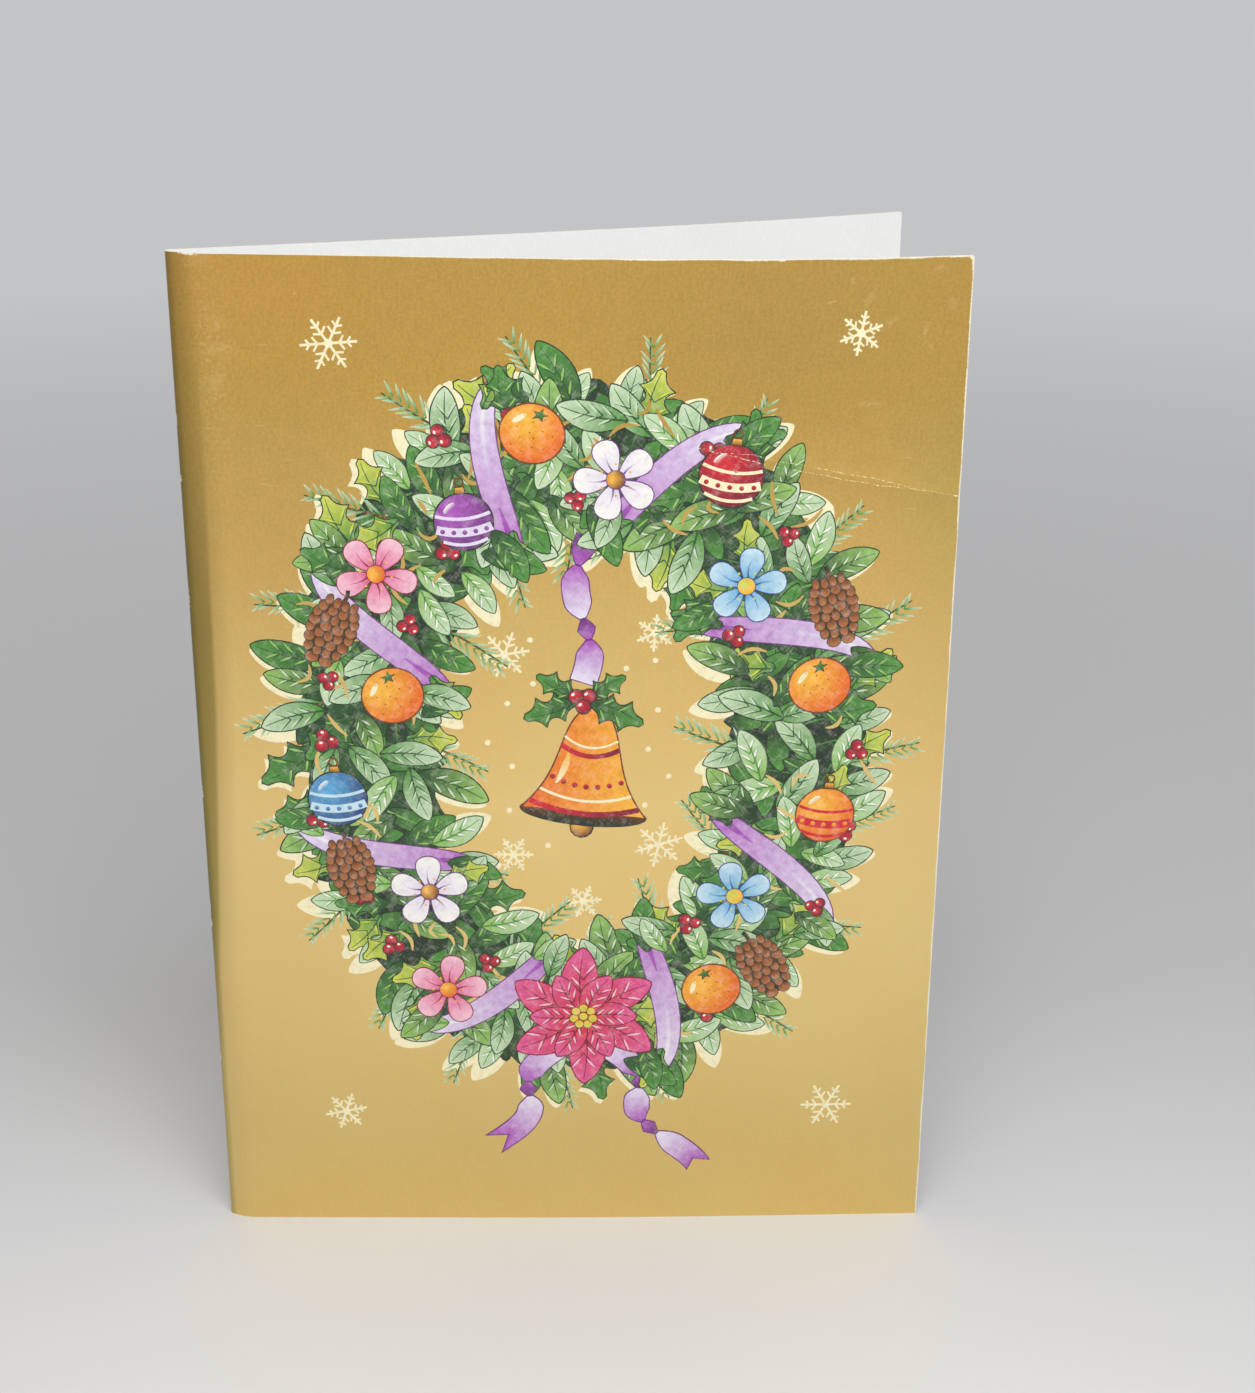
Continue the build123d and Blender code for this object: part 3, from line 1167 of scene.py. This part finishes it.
# The lowest level that no overlapping shape has
def freeLevel(taken, spots, reach):
    near = {level for otherSpots, otherReach, level in taken
            if any(hypot(x - otherX, y - otherY) < reach + otherReach
                   for x, y in spots for otherX, otherY in otherSpots)}
    level = 0
    while level in near:
        level += 1
    taken.append((spots, reach, level))
    return level


def leafMotifs():
    return {
        "laurel": leafMotif("laurel", 12.0, 5.0, "spring", "pine"),
        "mintLaurel": leafMotif("laurel", 11.0, 4.8, "mint", "leaf"),
        "darkLaurel": leafMotif("laurel", 12.5, 5.2, "leaf", "pine", glow="spring"),
        "holly": leafMotif("holly", 11.5, 7.4, "leaf", "pine", glow="spring"),
        "limeHolly": leafMotif("holly", 10.5, 7.0, "lime", "leaf", glow="lime"),
        "paleLaurel": leafMotif("laurel", 10.0, 4.4, "mint", "spring", "pine", "leaf", "white"),
    }


# Each row of leaves: how far outside the middle of the wreath, how far apart, which way they
# lean and by how much that varies. A kind that is named twice comes up more often
foliagePlan = {
    "rows": ((11.5, 6.2, 0, 42), (-11.5, 6.2, 180, 42), (7.0, 6.6, 25, 60), (-7.0, 6.6, 150, 60),
             (0.0, 6.0, 80, 80)),
    "kinds": ("laurel", "paleLaurel", "mintLaurel", "mintLaurel", "laurel", "darkLaurel", "holly",
              "limeHolly", "paleLaurel"),
    "sizes": (0.82, 1.12),
    "hollyKinds": ("holly", "limeHolly"),
    "haloFrom": 10,         # rows as far out as this have a pale underprint
    "spots": (2, 5, 8, 10.5),       # circles on these spots of a leaf show what it overlaps
    "spotReach": 2.4,
}


def foliage():
    motifs = leafMotifs()
    laurelHalo = flatShape(laurelLeaf(12.0, 5.0), "cream", "cream")
    hollyHalo = flatShape(hollyLeaf(11.5, 7.4), "cream", "cream")
    haloX, haloY = printing["halo"]
    leaves, underprint, taken = [], [], []
    for aside, spacing, lean, swing in foliagePlan["rows"]:
        for turn in ringTurns(aside, spacing):
            x, y, outward = ringSpot(turn + chance.uniform(-2, 2), aside + chance.uniform(-1.6, 1.6))
            heading = outward + lean + chance.uniform(-swing, swing)
            kind = chance.choice(foliagePlan["kinds"])
            size = chance.uniform(*foliagePlan["sizes"])
            x, y = ahead(x, y, heading, -5)
            spots = [ahead(x, y, heading, reach * size) for reach in foliagePlan["spots"]]
            level = freeLevel(taken, spots, foliagePlan["spotReach"] * size)
            leaves.append(placed(motifs[kind], x, y, heading, size, steps=levels["leaves"] + 2 * level,
                                 flip=chance.choice((1, -1))))
            if abs(aside) > foliagePlan["haloFrom"]:
                halo = hollyHalo if kind in foliagePlan["hollyKinds"] else laurelHalo
                underprint.append(placed(halo, x + haloX, y + haloY, heading, size,
                                         steps=len(underprint) % 2))
    print("leaves", len(leaves), "levels", 1 + max(level for spots, reach, level in taken))
    drop(*motifs.values(), laurelHalo, hollyHalo)
    return leaves, underprint


# What shows between the leaves: a dark ring with an uneven rim, whose two inks run into
# each other five times on the way round
groundPlan = {
    "narrower": 2.2,        # than half the band of leaves
    "waves": ((0.9, 17, 0), (0.7, 29, 1)),
    "inkWaves": 5,
    "steps": 120,
}


def darkGround():
    def width(share):
        waves = [high * sin(2 * pi * count * share + shift) for high, count, shift in groundPlan["waves"]]
        return 2 * (printing["halfBand"] - groundPlan["narrower"] + sum(waves))

    ground = stripShape(lambda share: ringSpot(360 * share)[:2], width, groundPlan["steps"], "night", "pine")
    for corner in ground.data.uv_layers["shade"].data:
        corner.uv.x = 0.5 - 0.5 * cos(2 * pi * groundPlan["inkWaves"] * corner.uv.x)
    editAll(ground)
    bpy.ops.mesh.remove_doubles(threshold=0.01 * mm)
    endEdit()
    return moved(ground, steps=levels["ground"])


# Darker, plainer leaves, which show in the gaps between the others
shadePlan = {
    "leaf": (8.6, 3.9),
    "inks": (("leaf", "pine", "spring"), ("pine", "night", "leaf"), ("leaf", "night", "pine")),
    "rows": (8.8, -8.8, 4.4, -4.4, 0.0),
    "spacing": 4.4,
    "sizes": (0.8, 1.1),
    "spots": (-2.6, 0, 2.6),
    "spotReach": 1.9,
}


def shadeLeaves():
    motifs = []
    length, width = shadePlan["leaf"]
    for fill, shade, rib in shadePlan["inks"]:
        outline = [(length * x, width * y) for x, y in oval(14, 0.5, 0.5, 1.4)]
        blade = flatShape(outline, fill, shade, "night", "along")
        midrib = stripShape(straight(-3.7, 0, 3.7, 0), tapered(0.32, 0.6), 3, rib, fill)
        motifs.append(joinShapes("shade_leaf", [blade, moved(midrib, steps=0.5)]))
    luck = random.Random(printing["seed"] + 1)
    shapes, taken = [], []
    for aside in shadePlan["rows"]:
        for turn in ringTurns(aside, shadePlan["spacing"]):
            x, y = ringSpot(turn + luck.uniform(-2, 2), aside + luck.uniform(-1, 1))[:2]
            heading, size = luck.uniform(0, 360), luck.uniform(*shadePlan["sizes"])
            motif = luck.choice(motifs)
            spots = [ahead(x, y, heading, reach * size) for reach in shadePlan["spots"]]
            level = freeLevel(taken, spots, shadePlan["spotReach"] * size)
            if level < levels["sprigs"] - levels["shadeLeaves"] - 1:
                shapes.append(placed(motif, x, y, heading, size, steps=levels["shadeLeaves"] + level))
    drop(*motifs)
    print("shade leaves", len(shapes))
    return shapes


# Sprigs that stick out: how far inside the edge of the band, how far apart, which way they lean
sprigPlan = {
    "rows": ((printing["halfBand"] - 6, 17, 22), (6 - printing["halfBand"], 19, 158)),
    "sizes": (0.85, 1.05),
}


def sprigs():
    motif = needleSprig(15.0, 9, "leaf", "mint")
    shapes = []
    for aside, spacing, lean in sprigPlan["rows"]:
        for turn in ringTurns(aside, spacing):
            x, y, outward = ringSpot(turn + chance.uniform(-3, 3), aside)
            heading = outward + lean + chance.uniform(-14, 14)
            size = chance.uniform(*sprigPlan["sizes"])
            shapes.append(placed(motif, x, y, heading, size, steps=levels["sprigs"]))
    drop(motif)
    return shapes


# Strokes that leave the gold bare, over the leaves
strokePlan = {
    "count": 84,
    "aside": 11,
    "bow": 1.2,
    "lengths": (2.5, 6.0),
    "width": 0.7,
}


def goldStrokes():
    shapes = []
    for index in range(strokePlan["count"]):
        x, y, outward = ringSpot(360 * index / strokePlan["count"] + chance.uniform(-3, 3),
                                 chance.uniform(-strokePlan["aside"], strokePlan["aside"]))
        bow = chance.uniform(-strokePlan["bow"], strokePlan["bow"])
        length = chance.uniform(*strokePlan["lengths"])
        stroke = stripShape(lambda share: (length * share, bow * sin(pi * share)),
                            swelling(strokePlan["width"]), 6, "amber", "amber")
        shapes.append(moved(stroke, x, y, outward + chance.uniform(-100, 100), steps=levels["goldStrokes"]))
    return shapes


# The ribbon is wound round the wreath, and hangs down from it and inside it. Turns say where
# it crosses the wreath, and joints where a hanging one turns over, as shares of its length
ribbonPlan = {
    "turns": (24, 69, 114, 158, 203, 247, 293, 336),
    "slant": 21,
    "pastBand": 0.4,
    "tailJoints": ((-1, (0, 0.36, 0.50, 1.0)), (1, (0, 0.30, 0.42, 0.76, 0.88, 1.22))),
    "bellJoints": (0, 0.30, 0.44, 0.80, 1.0),
    "leafSwings": ((-46, 5.5), (38, 5.5), (-4, 6.5)),   # of the leaves over its ends, and how far back
    "leafSizes": (0.78, 0.95),
}


# Ribbon that shows its pale side and its dark side in turn, and narrows at each joint between
def turningRibbon(path, joints, notch=0.0):
    shapes = []
    for index, (start, end) in enumerate(zip(joints, joints[1:])):
        full, inkPair = ((1.0, ("mist", "orchid")), (0.8, ("orchid", "plum")))[index % 2]

        def width(share):
            nearest = min(abs(mix(start, end, share) - joint) for joint in joints[1:-1])
            return printing["ribbonWidth"] * full * (0.26 + 0.74 * sin(pi / 2 * clamp(nearest / 0.12)))

        stretch = stripShape(lambda share: path(mix(start, end, share)), width, 14, *inkPair, "plum",
                             notch if end == joints[-1] else 0)
        shapes.append(moved(stretch, steps=index % 2))
    return shapes


# Leaves lie over the places where the wound ribbon comes and goes
def ribbons():
    motifs = list(leafMotifs().values())
    shapes, leaves = [], []
    edge = printing["halfBand"] + ribbonPlan["pastBand"]
    for turn in ribbonPlan["turns"]:
        def across(share):
            return ringSpot(turn + ribbonPlan["slant"] * (share - 0.5), edge * cos(pi * share))

        def wrap(share):
            return across(share)[:2]

        def width(share):
            return printing["ribbonWidth"] * (0.46 + 0.54 * sin(pi * clamp(share)))

        ribbon = stripShape(wrap, width, 20, "mist", "orchid", "plum")
        crease = stripShape(lambda share: wrap(0.10 + 0.44 * share), swelling(0.7, 0.05, 0.9), 8,
                            "white", "lilac")
        shade = stripShape(lambda share: wrap(0.62 + 0.34 * share), swelling(1.1, 0.05, 0.9), 8,
                           "orchid", "plum")
        shapes += [ribbon, moved(crease, steps=1), moved(shade, steps=1)]
        for share, lean in ((0.0, 0), (1.0, 180)):
            x, y, outward = across(share)
            for index, (swing, reach) in enumerate(ribbonPlan["leafSwings"]):
                heading = outward + lean + swing + chance.uniform(-8, 8)
                leaf = chance.choice(motifs)
                leaves.append(placed(leaf, *ahead(x, y, heading, -reach), heading,
                                     chance.uniform(*ribbonPlan["leafSizes"]),
                                     steps=levels["coverLeaves"] + 2 * index))
    drop(*motifs)
    flowerX, flowerY = ringSpot(270)[:2]
    for side, joints in ribbonPlan["tailJoints"]:
        shapes += turningRibbon(lambda share: (flowerX + side * (4 + 12 * share + 2.4 * sin(6.5 * share)),
                                               flowerY - 6 - 21 * share), joints, notch=0.2)
    for shape in shapes:
        moved(shape, steps=levels["ribbon"])
    return shapes + leaves


# Each ornament: turn round the wreath, how far outside its middle, its own turn. Berries go
# on every few degrees, but not over the flower at the foot
ornamentPlan = {
    "places": (("tangerine", 12, 4, 10), ("blueBlossom", 36, -3, 0), ("redBauble", 57, 6, -8),
               ("whiteBlossom", 80, -4, 30), ("tangerine", 101, 4, -15), ("violetBauble", 126, -3, 6),
               ("pinkBlossom", 146, 4, 50), ("tangerine", 169, -4, 20), ("blueBauble", 190, 6, 4),
               ("whiteBlossom", 214, -4, 12), ("pinkBlossom", 236, 5, 0), ("poinsettia", 270, 0, 90),
               ("tangerine", 303, 4, 30), ("blueBlossom", 325, -4, 20), ("amberBauble", 347, 6, -6),
               ("pineCone", 25, 9, 14), ("pineCone", 159, 8, -24), ("pineCone", 204, 7, 12),
               ("pineCone", 314, 8, 30)),
    "haloReach": 5.6,
    "haloFrom": 3,          # ornaments further out than this have a pale underprint
    "haloShift": 1.6,
    "berryEvery": 15,
    "berryAsides": (-8, -4, 7, 10),
    "berrySizes": (0.9, 1.1),
}


def ornaments():
    motifs = {
        "tangerine": tangerine(),
        "pinkBlossom": blossom(6.6, 5.8, "blush", "rose", "wine", "amber", "orange"),
        "blueBlossom": blossom(6.4, 5.6, "ice", "sky", "navy", "lime", "amber"),
        "whiteBlossom": blossom(6.6, 6.0, "white", "mist", "plum", "amber", "brown"),
        "redBauble": bauble(5.4, "red", "wine", "night", "cream"),
        "blueBauble": bauble(5.2, "sky", "navy", "night", "ice"),
        "violetBauble": bauble(5.0, "orchid", "plum", "night", "mist"),
        "amberBauble": bauble(5.2, "amber", "orange", "brown", "red"),
        "pineCone": pineCone(),
        "poinsettia": poinsettia(),
    }
    halo = dot(24, ornamentPlan["haloReach"], ornamentPlan["haloReach"], "cream")
    haloX, haloY = [ornamentPlan["haloShift"] * value for value in printing["halo"]]
    shapes, underprint = [], []
    for name, turn, aside, heading in ornamentPlan["places"]:
        x, y = ringSpot(turn, aside)[:2]
        shapes.append(placed(motifs[name], x, y, heading, steps=levels["ornaments"]))
        if aside > ornamentPlan["haloFrom"]:
            underprint.append(placed(halo, x + haloX, y + haloY, steps=1))
    cluster = berryCluster()
    for turn in range(0, 360, ornamentPlan["berryEvery"]):
        if abs(turn - 270) < 20:
            continue
        x, y = ringSpot(turn + chance.uniform(-4, 4), chance.choice(ornamentPlan["berryAsides"]))[:2]
        shapes.append(placed(cluster, x, y, chance.uniform(0, 360),
                             chance.uniform(*ornamentPlan["berrySizes"]), steps=levels["berries"]))
    drop(*motifs.values(), halo, cluster)
    return shapes, underprint


# The mouth of the bell is so far below the middle of the wreath, and the rest is measured up
# from there. Each leaf over its loop: turn, size, steps up
bellPlan = {
    "below": 12,
    "tilt": -6,
    "loop": 21.2,
    "leafSpot": 21,
    "ribbonFrom": 24,
    "ribbonLength": 26,
    "leaves": ((200, 0.9, 0), (-24, 0.95, 2), (150, 0.75, 0), (32, 0.7, 2)),
}


def hangingBell():
    centreX, centreY = printing["centre"]
    mouth = centreY - bellPlan["below"]
    top = mouth + bellPlan["leafSpot"]
    start, length = mouth + bellPlan["ribbonFrom"], bellPlan["ribbonLength"]
    parts = turningRibbon(lambda share: (centreX + 1.2 * sin(7 * share), start + length * share),
                          ribbonPlan["bellJoints"])
    for shape in parts:
        moved(shape, steps=levels["ribbon"])
    loop = stripShape(loopPath(1.4), even(0.5), 14, "brown", "brown")
    parts.append(moved(loop, centreX, mouth + bellPlan["loop"], steps=levels["ribbon"] + 2))
    parts.append(moved(bell(), centreX, mouth, bellPlan["tilt"], steps=levels["ribbon"] + 3))
    for turn, size, level in bellPlan["leaves"]:
        leaf = leafMotif("holly", 11.0, 7.2, "leaf", "pine", glow="spring")
        parts.append(moved(leaf, centreX + 0.8 * cos(radians(turn)), top + 0.5 * sin(radians(turn)),
                           turn, size, steps=levels["ornaments"] + level))
    parts.append(moved(berryCluster(), centreX, top, 10, 1.2, steps=levels["ornaments"] + 5))
    return parts


# Each snowflake, measured from the middle of the wreath: across, up, reach, turn
snowPlan = {
    "flakes": ((-13, 17, 4.2, 10), (12, 21, 3.3, 25), (-12, -20, 3.4, 0), (13, -18, 4.3, 18),
               (0, -29, 3.2, 8), (-40, 69, 4.6, 5), (44, 71, 3.6, 20), (-43, -72, 3.8, 12),
               (44, -71, 4.6, 0)),
    "dots": 20,
    "dotReach": 0.5,
}


def snow():
    centreX, centreY = printing["centre"]
    shapes = [moved(snowflake(reach), centreX + x, centreY + y, turn)
              for x, y, reach, turn in snowPlan["flakes"]]
    # The dots lie on a spiral, and none of them over the bell
    for index in range(snowPlan["dots"]):
        angle = 2.4 * index
        x = (11 + 0.3 * index) * cos(angle)
        y = (17 + 0.5 * index) * sin(angle)
        if abs(x) > 6 or y > 24:
            flake = dot(8, snowPlan["dotReach"], snowPlan["dotReach"], "cream")
            shapes.append(moved(flake, centreX + x, centreY + y, steps=5))
    return shapes


# One layer of shapes, given a thickness and folded onto the board
def printLayer(name, shapes, material):
    layer = joinShapes(name, shapes)
    editAll(layer)
    bpy.ops.mesh.extrude_region_move(TRANSFORM_OT_translate={"value": (0, 0, -mm)})
    endEdit()
    for vertex in layer.data.vertices:
        rise = vertex.co.z
        vertex.co.z = -printing["sunk"] * mm if rise < -mm / 2 else rise + printing["lowest"] * mm
    cutForFolding(layer)
    editAll(layer)
    bpy.ops.mesh.normals_make_consistent(inside=False)
    endEdit()
    flatMap(layer)
    foldOnto(layer, halfBoard)
    layer.data.materials.clear()
    layer.data.materials.append(material)
    bpy.ops.object.shade_smooth_by_angle(angle=radians(20))
    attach(layer, "root")
    triangles = sum(len(face.vertices) - 2 for face in layer.data.polygons)
    print(name, triangles, "triangles")


def coverPrint():
    inkMaterial = printedInk()
    leafShapes, leafHalos = foliage()
    ornamentShapes, ornamentHalos = ornaments()
    printLayer("cover_underprint", leafHalos + ornamentHalos + snow(), inkMaterial)
    printLayer("cover_ground", [darkGround()] + shadeLeaves(), inkMaterial)
    printLayer("cover_foliage", sprigs() + leafShapes, inkMaterial)
    printLayer("cover_ribbons", ribbons(), inkMaterial)
    printLayer("cover_ornaments", ornamentShapes, inkMaterial)
    printLayer("cover_bell", hangingBell(), inkMaterial)
    printLayer("cover_gold_strokes", goldStrokes(), goldMaterial)


coverPrint()

# Floor, backdrop, lights and camera

studio = {
    "floorColour": (0.72, 0.72, 0.715, 1),
    "paintedFloorShade": (0.56, 0.56, 0.558, 1),     # painted shade on the floor, darker behind the card
    "paintedFloorShadeSpan": (-0.08, 0.07),    # metres along Y in which it turns darker
    "floorSize": 24,
    "floorRoughness": 0.55,
    "backdropColour": (0.55, 0.555, 0.565, 1),
    "backdropNear": 0.10,       # metres from the card at which the floor starts to turn into it
    "backdropFar": 0.9,
    "horizonColour": (0.38, 0.38, 0.39, 1),
    "overheadColour": (0.50, 0.50, 0.51, 1),
    "overheadFrom": 0.7,        # how high up, as a share, the room is as light as overhead
    "lampPower": 2.5,
    "lampSize": 0.4,
    "lampPlace": (0.05, -0.34, 0.52),
    "lampAim": (0.02, -0.06, 0.05),
}


# One for the camera, and for what the foil mirrors
def seenDirectly(tree):
    ray = addNode(tree, "ShaderNodeLightPath").outputs
    seen = maths(tree, "MAXIMUM", ray["Is Camera Ray"], ray["Is Glossy Ray"])
    return maths(tree, "MAXIMUM", seen, ray["Is Transmission Ray"])


# The floor turns into an even backdrop far from the card, and has painted shade behind the card
def makeStage():
    deselectAll()
    bpy.ops.mesh.primitive_plane_add(size=studio["floorSize"], location=(0, 0, 0))
    floor = bpy.context.object
    floor.name = "floor"
    material, tree, shader = startMaterial("pale floor")
    setInputs(shader, Roughness=studio["floorRoughness"])
    shown = addNode(tree, "ShaderNodeEmission")
    shown.inputs["Color"].default_value = studio["backdropColour"]
    spot = addNode(tree, "ShaderNodeTexCoord").outputs["Object"]
    # Painted shade: the floor colour turns darker behind the card
    behind = spread(tree, alongAndUp(tree, spot)[1], *studio["paintedFloorShadeSpan"])
    colour = mixColours(tree, behind, studio["floorColour"], studio["paintedFloorShade"])
    tree.links.new(colour, shader.inputs["Base Color"])
    away = spread(tree, vectorLength(tree, spot), studio["backdropNear"], studio["backdropFar"])
    blend = addNode(tree, "ShaderNodeMixShader")
    tree.links.new(maths(tree, "MULTIPLY", seenDirectly(tree), away), blend.inputs[0])
    tree.links.new(shader.outputs[0], blend.inputs[1])
    tree.links.new(shown.outputs[0], blend.inputs[2])
    tree.links.new(blend.outputs[0], tree.nodes["Material Output"].inputs["Surface"])
    floor.data.materials.append(material)


def makeLights():
    world = bpy.data.worlds.new("studio")
    scene.world = world
    world.use_nodes = True
    tree = world.node_tree
    sky = tree.nodes["Background"]
    direction = addNode(tree, "ShaderNodeTexCoord").outputs["Generated"]
    parts = addNode(tree, "ShaderNodeSeparateXYZ")
    tree.links.new(direction, parts.inputs[0])
    rise = spread(tree, parts.outputs["Z"], 0.0, studio["overheadFrom"])
    colour = mixColours(tree, rise, studio["horizonColour"], studio["overheadColour"])
    colour = mixColours(tree, seenDirectly(tree), colour, studio["backdropColour"])
    tree.links.new(colour, sky.inputs["Color"])
    lamp = bpy.data.lights.new("softbox", "AREA")
    lamp.energy = studio["lampPower"]
    lamp.size = studio["lampSize"]
    softbox = bpy.data.objects.new("softbox", lamp)
    softbox.location = studio["lampPlace"]
    aim = Vector(studio["lampAim"]) - softbox.location
    softbox.rotation_euler = aim.to_track_quat("-Z", "Y").to_euler()
    scene.collection.objects.link(softbox)


camera = {
    "place": (0.00628, -0.36511, 0.23943),
    "heading": -0.488,
    "downwards": 21.47,
    "roll": 0.427,
    "focalPixels": 2202,
    "imageWidth": 1255,
}


def makeCamera():
    lens = bpy.data.cameras.new("camera")
    lens.sensor_fit = "HORIZONTAL"
    lens.sensor_width = 36
    lens.lens = lens.sensor_width * camera["focalPixels"] / camera["imageWidth"]
    lens.clip_start = 0.01
    viewer = bpy.data.objects.new("camera", lens)
    turned = Matrix.Rotation(radians(camera["heading"]), 4, "Z")
    turned = turned @ Matrix.Rotation(radians(90 - camera["downwards"]), 4, "X")
    turned = turned @ Matrix.Rotation(radians(camera["roll"]), 4, "Z")
    viewer.matrix_world = Matrix.Translation(camera["place"]) @ turned
    scene.collection.objects.link(viewer)
    scene.camera = viewer


makeStage()
makeLights()
makeCamera()
scene.view_settings.view_transform = "Standard"
print("stage, lights and camera ready")
